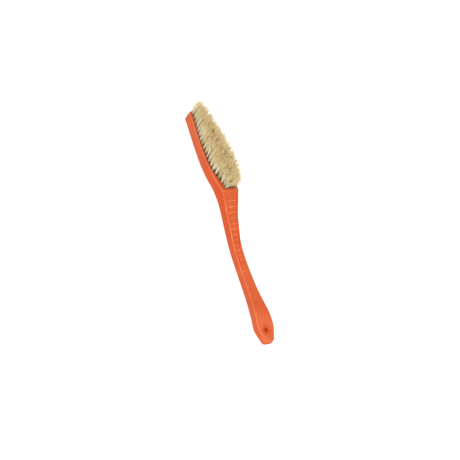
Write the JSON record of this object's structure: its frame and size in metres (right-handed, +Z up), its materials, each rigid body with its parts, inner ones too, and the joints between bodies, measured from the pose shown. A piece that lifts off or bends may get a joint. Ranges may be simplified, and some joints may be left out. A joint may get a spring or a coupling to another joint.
{
  "type": "climbing hold brush",
  "caption": "Cranked one-piece plastic brush handle with a leaf-shaped head of anchor-set natural bristle tufts, for scrubbing chalk off climbing holds.",
  "frame": {"origin": "on the table under the middle of the brush's box, with the brush lying on its back", "axes": "+X from the tip of the head to the tail, +Y across, +Z up; the bristles point up and lean towards the tip by the tilt at which the cranked handle lies"},
  "size_m": [0.232, 0.0232, 0.0417],
  "materials": {
    "handle_plastic": "satin moulded orange plastic with a fine mould grain",
    "bristle": "natural pale boar bristle, trimmed flat",
    "anchor_wire": "drawn flat steel wire"
  },
  "bodies": {
    "root": {"handle": "handle_plastic", "bristle_bank_tip": "bristle", "bristle_bank_middle": "bristle", "bristle_bank_neck": "bristle", "anchor_01": "anchor_wire", "anchor_02": "anchor_wire", "anchor_03": "anchor_wire", "anchor_04": "anchor_wire", "anchor_05": "anchor_wire", "anchor_06": "anchor_wire", "anchor_07": "anchor_wire", "anchor_08": "anchor_wire", "anchor_09": "anchor_wire", "anchor_10": "anchor_wire", "anchor_11": "anchor_wire", "anchor_12": "anchor_wire", "anchor_13": "anchor_wire", "anchor_14": "anchor_wire", "anchor_15": "anchor_wire", "anchor_16": "anchor_wire", "anchor_17": "anchor_wire", "anchor_18": "anchor_wire", "anchor_19": "anchor_wire", "anchor_20": "anchor_wire", "anchor_21": "anchor_wire", "anchor_22": "anchor_wire", "anchor_23": "anchor_wire", "anchor_24": "anchor_wire", "anchor_25": "anchor_wire", "anchor_26": "anchor_wire", "anchor_27": "anchor_wire", "anchor_28": "anchor_wire", "anchor_29": "anchor_wire", "anchor_30": "anchor_wire", "anchor_31": "anchor_wire", "anchor_32": "anchor_wire", "anchor_33": "anchor_wire", "anchor_34": "anchor_wire", "anchor_35": "anchor_wire", "anchor_36": "anchor_wire", "anchor_37": "anchor_wire", "anchor_38": "anchor_wire", "anchor_39": "anchor_wire", "anchor_40": "anchor_wire", "anchor_41": "anchor_wire", "anchor_42": "anchor_wire", "anchor_43": "anchor_wire", "anchor_44": "anchor_wire", "anchor_45": "anchor_wire", "anchor_46": "anchor_wire", "anchor_47": "anchor_wire", "anchor_48": "anchor_wire", "anchor_49": "anchor_wire", "anchor_50": "anchor_wire", "anchor_51": "anchor_wire", "anchor_52": "anchor_wire", "anchor_53": "anchor_wire", "anchor_54": "anchor_wire", "anchor_55": "anchor_wire", "anchor_56": "anchor_wire"}
  },
  "joints": []
}
